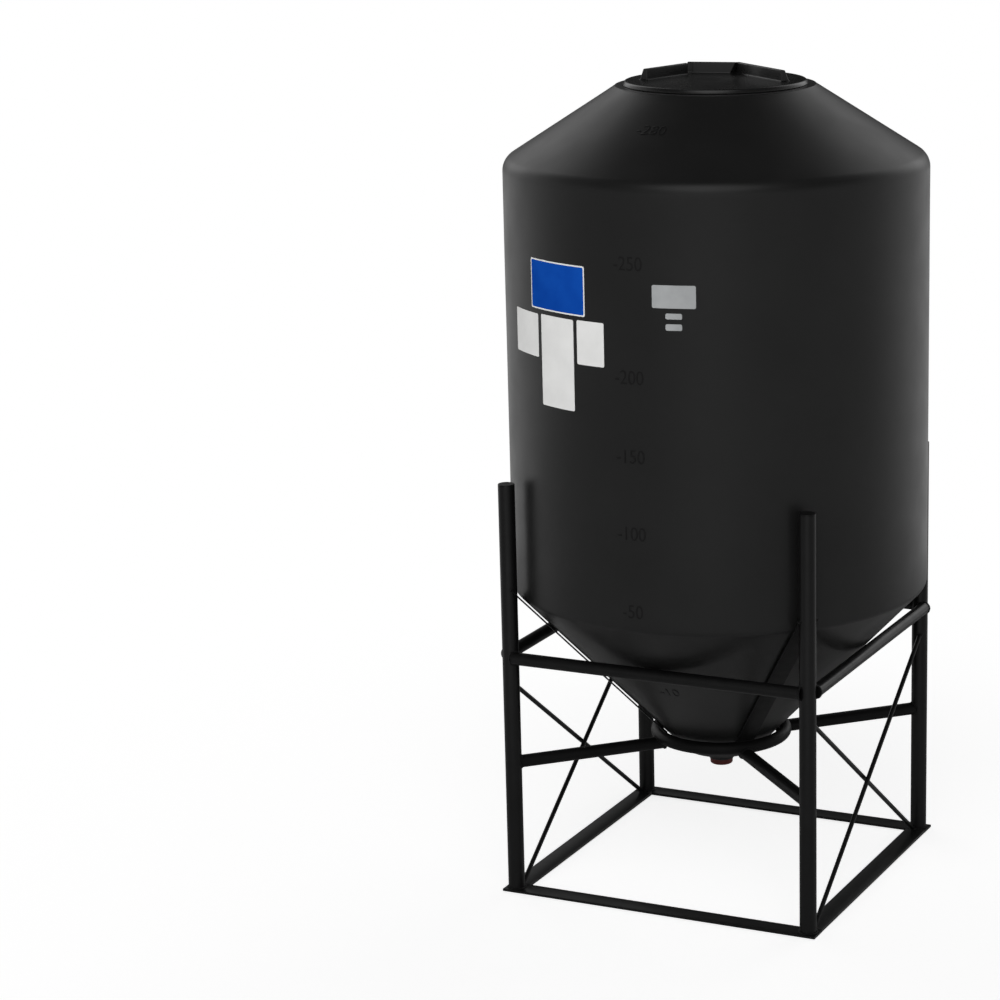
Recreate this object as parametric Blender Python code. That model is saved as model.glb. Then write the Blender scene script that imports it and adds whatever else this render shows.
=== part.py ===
# Vertical storage tank with a cone bottom, standing in a welded steel stand.
# Metres, +Z up, the front is -Y and the floor is z = 0.

import math

import bmesh
import bpy
from mathutils import Matrix, Vector

# Tank shell, as outside sizes. The corner heights are where wall and cone would meet if sharp.
TANK_R = 0.5334
TANK_WALL = 0.007
CONE_CORNER_Z = 0.772
CONE_SLOPE = 1.044
CONE_KNUCKLE_R = 0.020
SHOULDER_CORNER_Z = 1.8555
SHOULDER_SLOPE = 0.6396
SHOULDER_ROUND_R = 0.044
WALL_Z = (0.786, 1.830)
CONE_END_Z = 0.3105
CONE_END_ROUND_R = 0.006
CONE_HOLE_R = 0.020
TOP_END_R = 0.2510

# Fill neck and the screw lid over it
NECK_IN_R = 0.2015
NECK_TOP_Z = 2.0375
NECK_BOTTOM_Z = 2.0140
NECK_EDGE = 0.0025
LID_R = 0.2305
LID_TOP_Z = 2.0490
LID_EDGE_R = 0.0080
LID_PLATE_T = 0.0060
LID_SKIRT_R = 0.1960
LID_SKIRT_T = 0.0060
LID_SKIRT_Z = 2.0200
LID_TURN = math.radians(23.4)
GRIP_HEIGHT = 0.0275
GRIP_BASE_W = 0.0220
GRIP_TOP_W = 0.0110
GRIP_SINK = 0.0030
GRIP_CORNER_R = 0.0035
# Foot of each grip bar's upright face in the lid's own turn: a right, a left and a far bar.
GRIP_LINES = (
    ((0.059, 0.121), (0.162, -0.071)),
    ((-0.065, 0.126), (-0.169, -0.003)),
    ((-0.061, 0.147), (0.050, 0.125)),
)

# Outlet under the cone
OUTLET_TOP_R = 0.0355
OUTLET_BOTTOM_R = 0.0325
OUTLET_BORE_R = 0.0200
OUTLET_Z = (0.2825, 0.3102)
PLUG_R = 0.0300
PLUG_EDGE_R = 0.0045
PLUG_H = 0.0145

# Stand
POST_OFFSET = 0.403
POST_R = 0.0211
POST_TOP_Z = 1.0710
CAP_T = 0.0031
PIPE_R = 0.0167
RAIL_OUT = 0.0147
RAIL_Z = 0.6262
RAIL_END_BACK = 0.0120
RING_R = 0.1665
RING_Z = 0.3602
RADIAL_Z = 0.3440
RADIAL_IN_R = 0.1600
STRAP_W = 0.0508
STRAP_T = 0.00635
STRAP_LIFT = 0.0005
BRACE_R = 0.0058
BRACE_TOP_Z = 0.5480
BRACE_FOOT_Y = 0.3720
BRACE_FOOT_Z = 0.0125
BASE_HALF = 0.4299
BASE_W = 0.0530
BASE_T = 0.00635

GAP = 0.0003
TANK_SEGMENTS = 72
LID_SEGMENTS = 64
POST_SEGMENTS = 28
PIPE_SEGMENTS = 20
ROD_SEGMENTS = 12
RING_SEGMENTS = (48, 14)
OUTLET_SEGMENTS = 32
# A cutter is finer than what it cuts, and runs past both of its ends.
CUT_SEGMENTS = 48
RING_CUT_SEGMENTS = (96, 28)
CUT_REACH = 0.05

CORNERS = {
    "front_left": (-1, -1),
    "front_right": (1, -1),
    "back_right": (1, 1),
    "back_left": (-1, 1),
}


def clear_scene():
    for obj in list(bpy.data.objects):
        bpy.data.objects.remove(obj, do_unlink=True)


def make_material(name, color, roughness, metallic):
    material = bpy.data.materials.new(name)
    material.use_nodes = True
    shader = material.node_tree.nodes["Principled BSDF"]
    shader.inputs["Base Color"].default_value = (*color, 1.0)
    shader.inputs["Roughness"].default_value = roughness
    shader.inputs["Metallic"].default_value = metallic
    return material


def add_object(name, mesh, material=None, location=(0, 0, 0)):
    obj = bpy.data.objects.new(name, mesh)
    bpy.context.scene.collection.objects.link(obj)
    obj.location = location
    if material is not None:
        mesh.materials.append(material)
    return obj


def finish_mesh(bm, name, smooth_angle):
    bmesh.ops.recalc_face_normals(bm, faces=bm.faces)
    mesh = bpy.data.meshes.new(name)
    bm.to_mesh(mesh)
    bm.free()
    if smooth_angle:
        mesh.shade_smooth()
        mesh.set_sharp_from_angle(angle=math.radians(smooth_angle))
    return mesh


def round_corner(before, corner, after, radius, steps):
    """Points of the arc that rounds a corner between two straight runs."""
    before, corner, after = Vector(before), Vector(corner), Vector(after)
    to_before = (before - corner).normalized()
    to_after = (after - corner).normalized()
    half = to_before.angle(to_after) / 2
    center = corner + (to_before + to_after).normalized() * radius / math.sin(half)
    start = corner + to_before * radius / math.tan(half) - center
    end = corner + to_after * radius / math.tan(half) - center
    turn = start.angle_signed(end)
    points = []
    for i in range(steps + 1):
        angle = -turn * i / steps
        x = start.x * math.cos(angle) - start.y * math.sin(angle)
        y = start.x * math.sin(angle) + start.y * math.cos(angle)
        points.append((center.x + x, center.y + y))
    return points


def revolve(name, profile, segments, smooth_angle=30):
    """Closed solid from a closed outline of (radius, height); radius 0 is the axis."""
    bm = bmesh.new()
    rings = []
    for radius, height in profile:
        if radius == 0:
            rings.append([bm.verts.new((0, 0, height))])
            continue
        ring = []
        for i in range(segments):
            angle = 2 * math.pi * i / segments
            ring.append(bm.verts.new((radius * math.cos(angle), radius * math.sin(angle), height)))
        rings.append(ring)
    count = len(rings)
    for index in range(count):
        lower, upper = rings[index], rings[(index + 1) % count]
        if len(lower) == 1 and len(upper) == 1:
            continue
        for i in range(segments):
            j = (i + 1) % segments
            if len(lower) == 1:
                bm.faces.new((lower[0], upper[i], upper[j]))
            elif len(upper) == 1:
                bm.faces.new((lower[i], lower[j], upper[0]))
            else:
                bm.faces.new((lower[i], lower[j], upper[j], upper[i]))
    return finish_mesh(bm, name, smooth_angle)


def cylinder_mesh(name, radius, start, end, segments, smooth_angle=30):
    """Solid round bar between two points."""
    start, end = Vector(start), Vector(end)
    axis = end - start
    bm = bmesh.new()
    bmesh.ops.create_cone(bm, cap_ends=True, segments=segments, radius1=radius,
                          radius2=radius, depth=axis.length)
    turn = Vector((0, 0, 1)).rotation_difference(axis.normalized()).to_matrix().to_4x4()
    bm.transform(Matrix.Translation((start + end) / 2) @ turn)
    return finish_mesh(bm, name, smooth_angle)


def box_mesh(name, low, high):
    bm = bmesh.new()
    bmesh.ops.create_cube(bm, size=1.0)
    low, high = Vector(low), Vector(high)
    size = high - low
    bm.transform(Matrix.Translation((low + high) / 2) @ Matrix.Diagonal((*size, 1)))
    return finish_mesh(bm, name, 0)


def torus_mesh(name, ring_radius, pipe_radius, height, segments):
    ring_segments, pipe_segments = segments
    bm = bmesh.new()
    rings = []
    for i in range(ring_segments):
        turn = 2 * math.pi * i / ring_segments
        ring = []
        for j in range(pipe_segments):
            angle = 2 * math.pi * j / pipe_segments
            radius = ring_radius + pipe_radius * math.cos(angle)
            ring.append(bm.verts.new((radius * math.cos(turn), radius * math.sin(turn),
                                      height + pipe_radius * math.sin(angle))))
        rings.append(ring)
    for i in range(ring_segments):
        here, there = rings[i], rings[(i + 1) % ring_segments]
        for j in range(pipe_segments):
            k = (j + 1) % pipe_segments
            bm.faces.new((here[j], there[j], there[k], here[k]))
    return finish_mesh(bm, name, 60)


def combine(obj, others, operation):
    """Cut from, or add to, obj each of the other objects, and remove those."""
    for other in others:
        modifier = obj.modifiers.new("combine", "BOOLEAN")
        modifier.operation = operation
        modifier.solver = "EXACT"
        modifier.object = other
    bpy.context.view_layer.update()
    evaluated = obj.evaluated_get(bpy.context.evaluated_depsgraph_get())
    mesh = bpy.data.meshes.new_from_object(evaluated)
    mesh.name = obj.name
    obj.modifiers.clear()
    obj.data = mesh
    for other in others:
        bpy.data.objects.remove(other, do_unlink=True)
    return obj


def post_cutter(corner, gap=GAP):
    sx, sy = corner
    x, y = sx * POST_OFFSET, sy * POST_OFFSET
    low, high = (x, y, -CUT_REACH), (x, y, POST_TOP_Z + CUT_REACH)
    mesh = cylinder_mesh("cutter", POST_R + gap, low, high, CUT_SEGMENTS)
    return add_object("cutter", mesh)


def cone_radius(height):
    """Outside radius of the bottom cone at a height."""
    return TANK_R - (CONE_CORNER_Z - height) / CONE_SLOPE


def shoulder_height(radius):
    """Outside height of the top cone at a radius."""
    return SHOULDER_CORNER_Z + (TANK_R - radius) * SHOULDER_SLOPE


def build_tank(plastic):
    inner_r = TANK_R - TANK_WALL
    low, high = WALL_Z
    wall = [(TANK_R, low + GAP), (TANK_R, high - GAP), (inner_r, high - GAP), (inner_r, low + GAP)]
    add_object("tank_wall", revolve("tank_wall", wall, TANK_SEGMENTS), plastic)

    # The inside of a cone is its outside line moved in by the wall's thickness.
    end_r = cone_radius(CONE_END_Z)
    slant = math.hypot(1, CONE_SLOPE)
    inside_drop = TANK_WALL * slant
    corner = (TANK_R, CONE_CORNER_Z)
    outside = round_corner((end_r, CONE_END_Z), corner, (TANK_R, low), CONE_KNUCKLE_R, 5)
    inner_corner_z = CONE_CORNER_Z + inside_drop - TANK_WALL * CONE_SLOPE
    inside_end_z = CONE_END_Z + TANK_WALL
    inside_end_r = inner_r - (inner_corner_z - inside_end_z) / CONE_SLOPE
    inside = round_corner((inner_r, low), (inner_r, inner_corner_z), (inside_end_r, inside_end_z),
                          CONE_KNUCKLE_R - TANK_WALL, 4)
    tip = round_corner((CONE_HOLE_R, CONE_END_Z), (end_r, CONE_END_Z), corner, CONE_END_ROUND_R, 3)
    cone = [(CONE_HOLE_R, inside_end_z), (CONE_HOLE_R, CONE_END_Z)] + tip + outside
    cone += [(TANK_R, low - GAP), (inner_r, low - GAP)] + inside + [(inside_end_r, inside_end_z)]
    add_object("tank_cone", revolve("tank_cone", cone, TANK_SEGMENTS), plastic)

    slant = math.hypot(1, SHOULDER_SLOPE)
    corner = (TANK_R, SHOULDER_CORNER_Z)
    end = (TOP_END_R, shoulder_height(TOP_END_R))
    outside = round_corner((TANK_R, high), corner, end, SHOULDER_ROUND_R, 6)
    inner_corner_z = SHOULDER_CORNER_Z - TANK_WALL * slant + TANK_WALL * SHOULDER_SLOPE
    inside_end = (TOP_END_R, end[1] - TANK_WALL * slant)
    inside = round_corner(inside_end, (inner_r, inner_corner_z), (inner_r, high),
                          SHOULDER_ROUND_R - TANK_WALL, 5)
    top = [(TANK_R, high + GAP)] + outside + [end, inside_end] + inside + [(inner_r, high + GAP)]
    add_object("tank_top", revolve("tank_top", top, TANK_SEGMENTS), plastic)


def build_neck(plastic):
    outer_r = TOP_END_R - GAP
    neck = [
        (NECK_IN_R, NECK_BOTTOM_Z),
        (outer_r, NECK_BOTTOM_Z),
        (outer_r, NECK_TOP_Z - NECK_EDGE),
        (outer_r - NECK_EDGE, NECK_TOP_Z),
        (NECK_IN_R, NECK_TOP_Z),
    ]
    add_object("fill_neck", revolve("fill_neck", neck, TANK_SEGMENTS), plastic)


def grip_mesh(start, end):
    """Raised bar whose inner face is upright and whose outer face leans in."""
    start, end = Vector((*start, 0)), Vector((*end, 0))
    along = (end - start).normalized()
    outward = Vector((along.y, -along.x, 0))
    if outward.dot(start + end) < 0:
        outward = -outward
    low = LID_TOP_Z - GRIP_SINK
    high = LID_TOP_Z + GRIP_HEIGHT
    sink_w = GRIP_BASE_W + GRIP_SINK * (GRIP_BASE_W - GRIP_TOP_W) / GRIP_HEIGHT
    bm = bmesh.new()
    sections = []
    for base in (start, end):
        section = []
        for width, height in ((0, low), (sink_w, low), (GRIP_TOP_W, high), (0, high)):
            point = base + outward * width
            section.append(bm.verts.new((point.x, point.y, height)))
        sections.append(section)
    first, last = sections
    bm.faces.new(first)
    bm.faces.new(last[::-1])
    for i in range(4):
        j = (i + 1) % 4
        bm.faces.new((first[i], last[i], last[j], first[j]))
    bmesh.ops.recalc_face_normals(bm, faces=bm.faces)
    upright = [e for e in bm.edges if abs(e.verts[0].co.z - e.verts[1].co.z) > GRIP_HEIGHT / 2]
    bmesh.ops.bevel(bm, geom=upright, offset=GRIP_CORNER_R, segments=2, affect="EDGES", profile=0.5)
    bm.transform(Matrix.Rotation(LID_TURN, 4, "Z"))
    return finish_mesh(bm, "grip", 0)


def build_lid(plastic):
    bottom = NECK_TOP_Z + GAP
    skirt_in = LID_SKIRT_R - LID_SKIRT_T
    edge = round_corner((LID_R, bottom), (LID_R, LID_TOP_Z), (0, LID_TOP_Z), LID_EDGE_R, 3)
    profile = [(0, LID_TOP_Z - LID_PLATE_T), (skirt_in, LID_TOP_Z - LID_PLATE_T)]
    profile += [(skirt_in, LID_SKIRT_Z), (LID_SKIRT_R, LID_SKIRT_Z), (LID_SKIRT_R, bottom)]
    profile += [(LID_R, bottom)] + edge + [(0, LID_TOP_Z)]
    lid = add_object("lid", revolve("lid", profile, LID_SEGMENTS))
    grips = [add_object("grip", grip_mesh(start, end)) for start, end in GRIP_LINES]
    combine(lid, grips, "UNION")
    lid.data.materials.clear()
    lid.data.materials.append(plastic)
    lid.data.transform(Matrix.Translation((0, 0, -NECK_TOP_Z)))
    lid.location = (0, 0, NECK_TOP_Z)


def build_outlet(plastic, plug_plastic):
    low, high = OUTLET_Z
    body = [(OUTLET_BORE_R, low), (OUTLET_BOTTOM_R, low), (OUTLET_TOP_R, high),
            (OUTLET_BORE_R, high)]
    mesh = revolve("outlet_fitting", body, OUTLET_SEGMENTS)
    add_object("outlet_fitting", mesh, plastic)
    top = low - GAP
    bottom = top - PLUG_H
    edge = round_corner((0, bottom), (PLUG_R, bottom), (PLUG_R, top), PLUG_EDGE_R, 3)
    plug = [(0, bottom)] + edge + [(PLUG_R, top), (0, top)]
    mesh = revolve("outlet_plug", plug, OUTLET_SEGMENTS)
    add_object("outlet_plug", mesh, plug_plastic)


def build_posts(steel):
    for name, (sx, sy) in CORNERS.items():
        x, y = sx * POST_OFFSET, sy * POST_OFFSET
        mesh = cylinder_mesh(f"post_{name}", POST_R, (x, y, BASE_T + GAP), (x, y, POST_TOP_Z),
                             POST_SEGMENTS)
        add_object(f"post_{name}", mesh, steel)
        low = POST_TOP_Z + GAP
        mesh = cylinder_mesh(f"post_cap_{name}", POST_R, (x, y, low), (x, y, low + CAP_T),
                             POST_SEGMENTS)
        add_object(f"post_cap_{name}", mesh, steel)


def build_rails(steel):
    reach = POST_OFFSET - RAIL_END_BACK
    line = POST_OFFSET + RAIL_OUT
    ends = {
        "front": ((-reach, -line), (reach, -line), (-1, -1), (1, -1)),
        "back": ((-reach, line), (reach, line), (-1, 1), (1, 1)),
        "left": ((-line, -reach), (-line, reach), (-1, -1), (-1, 1)),
        "right": ((line, -reach), (line, reach), (1, -1), (1, 1)),
    }
    for side, (start, end, first, last) in ends.items():
        name = f"rail_{side}"
        mesh = cylinder_mesh(name, PIPE_R, (*start, RAIL_Z), (*end, RAIL_Z), PIPE_SEGMENTS)
        rail = add_object(name, mesh, steel)
        combine(rail, [post_cutter(first), post_cutter(last)], "DIFFERENCE")


def build_ring(steel):
    mesh = torus_mesh("support_ring", RING_R, PIPE_R, RING_Z, RING_SEGMENTS)
    add_object("support_ring", mesh, steel)


def build_radials(steel):
    half = math.sqrt(0.5)
    for name, (sx, sy) in CORNERS.items():
        start = (sx * half * RADIAL_IN_R, sy * half * RADIAL_IN_R, RADIAL_Z)
        end = (sx * POST_OFFSET, sy * POST_OFFSET, RADIAL_Z)
        mesh = cylinder_mesh(f"radial_{name}", PIPE_R, start, end, PIPE_SEGMENTS)
        radial = add_object(f"radial_{name}", mesh, steel)
        ring = torus_mesh("cutter", RING_R, PIPE_R + GAP, RING_Z, RING_CUT_SEGMENTS)
        combine(radial, [post_cutter((sx, sy)), add_object("cutter", ring)], "DIFFERENCE")


def build_straps(steel):
    """Flat bars under the cone, from each post down to the ring."""
    slant = math.hypot(1, CONE_SLOPE)
    along = Vector((1, CONE_SLOPE)).normalized()
    under = Vector((CONE_SLOPE, -1)) / slant
    # Distance from the cone's line to the ring's middle, and where the strap meets the ring.
    ring_drop = (CONE_CORNER_Z - (TANK_R - RING_R) * CONE_SLOPE - RING_Z) / slant
    to_strap = ring_drop - STRAP_LIFT - STRAP_T
    meet = math.sqrt((PIPE_R + GAP) ** 2 - to_strap ** 2)
    cone_point = Vector((RING_R, RING_Z)) - under * ring_drop
    low_end = cone_point + along * meet
    high_r = POST_OFFSET * math.sqrt(2)
    high_end = low_end + along * ((high_r - low_end.x) / along.x)
    for name, (sx, sy) in CORNERS.items():
        turn = math.atan2(sy, sx)
        bm = bmesh.new()
        sections = []
        for point in (low_end, high_end):
            section = []
            for side, depth in ((-1, 0), (1, 0), (1, 1), (-1, 1)):
                spot = point + under * (STRAP_LIFT + depth * STRAP_T)
                section.append(bm.verts.new((spot.x, side * STRAP_W / 2, spot.y)))
            sections.append(section)
        first, last = sections
        bm.faces.new(first)
        bm.faces.new(last[::-1])
        for i in range(4):
            j = (i + 1) % 4
            bm.faces.new((first[i], last[i], last[j], first[j]))
        bm.transform(Matrix.Rotation(turn, 4, "Z"))
        strap = add_object(f"strap_{name}", finish_mesh(bm, f"strap_{name}", 0), steel)
        combine(strap, [post_cutter((sx, sy))], "DIFFERENCE")


def build_braces(steel):
    """Two crossed rods on the left and right sides, each from a post to the far foot."""
    shift = BRACE_R + GAP
    for side, sx in (("left", -1), ("right", 1)):
        for letter, sy in (("a", -1), ("b", 1)):
            x = sx * POST_OFFSET + sy * shift
            high = Vector((x, sy * POST_OFFSET, 0))
            low = Vector((x, -sy * BRACE_FOOT_Y, BRACE_FOOT_Z))
            rise = (BRACE_TOP_Z - BRACE_FOOT_Z) / (POST_OFFSET - POST_R + BRACE_FOOT_Y)
            high.z = BRACE_TOP_Z + rise * POST_R
            low = low + (low - high).normalized() * CUT_REACH
            name = f"brace_{side}_{letter}"
            rod = add_object(name, cylinder_mesh(name, BRACE_R, high, low, ROD_SEGMENTS), steel)
            bar_low = (x - CUT_REACH, low.y - CUT_REACH, -CUT_REACH)
            bar_high = (x + CUT_REACH, low.y + CUT_REACH, BASE_T + GAP)
            bar = add_object("cutter", box_mesh("cutter", bar_low, bar_high))
            cutters = [post_cutter((sx, -1)), post_cutter((sx, 1)), bar]
            combine(rod, cutters, "DIFFERENCE")


def build_base(steel):
    out, inside = BASE_HALF, BASE_HALF - BASE_W
    bars = {
        "front": ((-out, -out), (out, -inside)),
        "back": ((-out, inside), (out, out)),
        "left": ((-out, -inside + GAP), (-inside, inside - GAP)),
        "right": ((inside, -inside + GAP), (out, inside - GAP)),
    }
    for side, (low, high) in bars.items():
        name = f"base_bar_{side}"
        add_object(name, box_mesh(name, (*low, 0), (*high, BASE_T)), steel)


def main():
    clear_scene()
    plastic = make_material("black_plastic", (0.020, 0.020, 0.021), 0.42, 0.0)
    lid_plastic = make_material("lid_plastic", (0.018, 0.018, 0.019), 0.36, 0.0)
    plug_plastic = make_material("plug_plastic", (0.130, 0.022, 0.018), 0.50, 0.0)
    steel = make_material("black_steel", (0.022, 0.022, 0.023), 0.45, 0.0)
    build_tank(plastic)
    build_neck(plastic)
    build_lid(lid_plastic)
    build_outlet(plastic, plug_plastic)
    build_posts(steel)
    build_rails(steel)
    build_ring(steel)
    build_radials(steel)
    build_straps(steel)
    build_braces(steel)
    build_base(steel)


main()
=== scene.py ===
# %% [markdown]
# A vertical storage tank with a cone bottom, in a welded pipe stand.
# The tank is one black plastic moulding with a screw lid on top and an outlet under its tip.
# The stand is steel pipe, flat bar and rod, welded together and painted black.
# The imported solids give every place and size. This script gives them their surfaces, rounded
# edges, welds, threads, raised level marks and labels, and puts them in a plain studio.

# %% Load the frame
import math

import bmesh
import bpy
from mathutils import Matrix, Vector


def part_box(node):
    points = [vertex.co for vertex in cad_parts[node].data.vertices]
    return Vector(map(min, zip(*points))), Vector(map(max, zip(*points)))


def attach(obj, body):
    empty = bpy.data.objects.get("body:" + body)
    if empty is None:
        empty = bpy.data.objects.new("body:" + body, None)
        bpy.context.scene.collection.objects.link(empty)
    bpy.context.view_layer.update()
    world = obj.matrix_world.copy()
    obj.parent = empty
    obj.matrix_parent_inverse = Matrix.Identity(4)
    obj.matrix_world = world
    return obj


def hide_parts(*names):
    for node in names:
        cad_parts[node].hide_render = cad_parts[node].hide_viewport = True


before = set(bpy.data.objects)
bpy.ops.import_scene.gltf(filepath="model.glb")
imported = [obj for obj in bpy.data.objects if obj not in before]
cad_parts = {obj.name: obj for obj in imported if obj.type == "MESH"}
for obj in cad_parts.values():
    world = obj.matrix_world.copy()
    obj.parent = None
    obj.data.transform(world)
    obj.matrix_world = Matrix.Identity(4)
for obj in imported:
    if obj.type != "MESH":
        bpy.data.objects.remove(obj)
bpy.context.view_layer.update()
TANK_BODY = "tank_and_stand"
LID_BODY = "lid"
CLEARANCE = 0.0003

# %% [markdown]
# Every size that a solid can tell is read from its box, so the two scripts can't drift apart.
# Only what a box doesn't hold, such as the slope of a cone or a corner's radius, is a number here.

# %% Sizes read from the solids
wall_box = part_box("tank_wall")
cone_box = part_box("tank_cone")
neck_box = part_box("fill_neck")
lid_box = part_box("lid")
boss_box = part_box("outlet_fitting")
plug_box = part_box("outlet_plug")
ring_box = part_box("support_ring")
base_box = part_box("base_bar_front")
side_base_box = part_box("base_bar_right")
post_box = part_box("post_front_right")
cap_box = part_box("post_cap_front_right")
rail_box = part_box("rail_right")
radial_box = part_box("radial_front_right")

TANK_R = wall_box[1].x
SHELL_T = 0.007
CONE_SLOPE = 1.044
CONE_SLANT = math.hypot(1, CONE_SLOPE)
CONE_CORNER_Z = 0.772
SHOULDER_SLOPE = 0.6396
SHOULDER_SLANT = math.hypot(1, SHOULDER_SLOPE)
SHOULDER_CORNER_Z = 1.8555
SHOULDER_ROUND_R = 0.044
CONE_END_Z = cone_box[0].z
NECK_OUT_R = neck_box[1].x
NECK_TOP_Z = neck_box[1].z
POST_OFFSET = (post_box[0].x + post_box[1].x) / 2
POST_R = (post_box[1].x - post_box[0].x) / 2
PIPE_R = (ring_box[1].z - ring_box[0].z) / 2
RING_R = ring_box[1].x - PIPE_R
RING_Z = (ring_box[0].z + ring_box[1].z) / 2
BASE_T = base_box[1].z
CORNERS = ((-1, -1), (1, -1), (1, 1), (-1, 1))
print(f"tank radius {TANK_R:.4f}, post {POST_R * 2000:.1f} mm, pipe {PIPE_R * 2000:.1f} mm")

# %% [markdown]
# The camera stands where the photograph was taken from: to the right of the level marks, a
# little above the lid. It was solved from the stand's posts and the tank's outline. A long
# lens keeps the posts nearly upright. The camera faces the tank, and the tank is right of the
# picture's middle, so the frame is shifted sideways instead of the camera being turned away.

# %% Camera
CAMERA_PLACE = Vector((3.01041, -6.95670, 2.89041))
CAMERA_TURN = 0.42008
CAMERA_PITCH = 0.24744
CAMERA_ROLL = -0.01204
CAMERA_LENS = 109.886
FRAME_SHIFT = -0.18467
SENSOR_WIDTH = 36.0
FARTHEST_SEEN = 200.0


def camera_axes(turn, pitch, roll):
    """Right, up and backward directions of a camera that looks along +Y when unturned."""
    forward = Vector((-math.sin(turn) * math.cos(pitch), math.cos(turn) * math.cos(pitch),
                      -math.sin(pitch)))
    right = forward.cross(Vector((0, 0, 1))).normalized()
    up = right.cross(forward)
    rolled_right = right * math.cos(roll) + up * math.sin(roll)
    rolled_up = up * math.cos(roll) - right * math.sin(roll)
    return rolled_right, rolled_up, -forward


camera_data = bpy.data.cameras.new("studio_camera")
camera_data.lens = CAMERA_LENS
camera_data.sensor_width = SENSOR_WIDTH
camera_data.shift_x = FRAME_SHIFT
camera_data.clip_end = FARTHEST_SEEN
camera = bpy.data.objects.new("studio_camera", camera_data)
bpy.context.scene.collection.objects.link(camera)
axes = Matrix(camera_axes(CAMERA_TURN, CAMERA_PITCH, CAMERA_ROLL)).transposed()
camera.matrix_world = Matrix.Translation(CAMERA_PLACE) @ axes.to_4x4()
bpy.context.scene.camera = camera
print("camera at", tuple(round(v, 3) for v in CAMERA_PLACE), "lens", CAMERA_LENS)

# %% [markdown]
# Most pieces are made from lists of points and faces. One helper turns those into an object
# that sits at the origin, with its faces pointing out, smooth where its faces nearly agree
# and sharp at real edges. Another reads the finished mesh of a piece that a modifier shapes.
# The last two hang a piece on its moving body, and find the solids that it takes the place of.

# %% Helpers that make a piece
def placed(name, data):
    """New object at the origin that holds the data."""
    item = bpy.data.objects.new(name, data)
    bpy.context.scene.collection.objects.link(item)
    return item


def evaluated_mesh(item):
    """Plain mesh of an object as its modifiers leave it."""
    bpy.context.view_layer.update()
    evaluated = item.evaluated_get(bpy.context.evaluated_depsgraph_get())
    return bpy.data.meshes.new_from_object(evaluated)


def piece_from_bmesh(name, bm, materials, sharp_degrees=35):
    """Object at the origin from a bmesh. Round forms are shaded smooth."""
    bmesh.ops.recalc_face_normals(bm, faces=bm.faces)
    mesh = bpy.data.meshes.new(name)
    bm.to_mesh(mesh)
    bm.free()
    mesh.shade_smooth()
    mesh.set_sharp_from_angle(angle=math.radians(sharp_degrees))
    for material in materials:
        mesh.materials.append(material)
    return placed(name, mesh)


def settle(piece, body, slot, *nodes):
    """Hang the finished piece on its body and hide the solids it stands for. slot is not used."""
    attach(piece, body)
    if nodes:
        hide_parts(*nodes)
    print(piece.name, "faces", len(piece.data.polygons), "stands for", len(nodes), "solids")


def solids_named(start):
    """Names of the solids that start with a word."""
    return [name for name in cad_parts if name.startswith(start)]


print("posts and caps:", solids_named("post_"))

# %% [markdown]
# A moulded plastic skin isn't one flat colour. Black polyethylene is a dark grey with slow
# patches, a satin gloss that changes a little from place to place, and a faint grain that the
# mould's sandblasted wall leaves. A picture could be laid over the piece, but it would need
# a flat layout and would show its seams. Noise in object coordinates needs neither, and it
# stays still on the piece from every side. Paint on steel is built the same way, with other
# sizes of grain, so one function makes both.

# %% Node helpers
def add_node(tree, kind, inputs=None, **settings):
    """New node. inputs gives its sockets, by name or number, a value or another's output."""
    node = tree.nodes.new(kind)
    for key, value in settings.items():
        setattr(node, key, value)
    for key, value in (inputs or {}).items():
        if isinstance(value, bpy.types.NodeSocket):
            tree.links.new(value, node.inputs[key])
        else:
            node.inputs[key].default_value = value
    return node


def noise_on(tree, coordinates, scale, detail):
    """Patches between 0 and 1 that stay still in the coordinates."""
    wanted = {"Vector": coordinates, "Scale": scale, "Detail": detail}
    return add_node(tree, "ShaderNodeTexNoise", wanted).outputs["Fac"]


def spread(tree, factor, low, high):
    """Map a noise value, which is seldom near 0 or 1, onto the range from low to high."""
    wanted = {"Value": factor, "From Min": 0.3, "From Max": 0.7, "To Min": low, "To Max": high}
    return add_node(tree, "ShaderNodeMapRange", wanted).outputs["Result"]


print("node helpers:", [helper.__name__ for helper in (add_node, noise_on, spread)])

# %% Coated surfaces
PATCH_DETAIL = 3.0
SHEEN_DETAIL = 4.0
GRAIN_DETAIL = 2.0
SHEEN_SCALE = 2.7


def coated(name, dark, light, roughness, patch, grain, grain_height, gloss=0.5):
    """Surface with slow patches of tone and gloss, and a fine grain of bumps.

    dark and light are the two tones, roughness a pair, patch and grain noise scales. gloss is
    how much it mirrors."""
    material = bpy.data.materials.new(name)
    material.use_nodes = True
    tree = material.node_tree
    shader = tree.nodes["Principled BSDF"]
    shader.inputs["Specular IOR Level"].default_value = gloss
    place = add_node(tree, "ShaderNodeTexCoord").outputs["Object"]
    patches = spread(tree, noise_on(tree, place, patch, PATCH_DETAIL), 0.0, 1.0)
    tones = {"Factor": patches, "A": (*dark, 1.0), "B": (*light, 1.0)}
    tone = add_node(tree, "ShaderNodeMix", tones, data_type="RGBA")
    sheen = noise_on(tree, place, patch * SHEEN_SCALE, SHEEN_DETAIL)
    grains = {"Height": noise_on(tree, place, grain, GRAIN_DETAIL), "Distance": grain_height,
              "Strength": 1.0}
    bump = add_node(tree, "ShaderNodeBump", grains)
    tree.links.new(tone.outputs["Result"], shader.inputs["Base Color"])
    tree.links.new(spread(tree, sheen, *roughness), shader.inputs["Roughness"])
    tree.links.new(bump.outputs["Normal"], shader.inputs["Normal"])
    return material


print("gloss patches are", SHEEN_SCALE, "times as fine as patches of tone")

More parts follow.
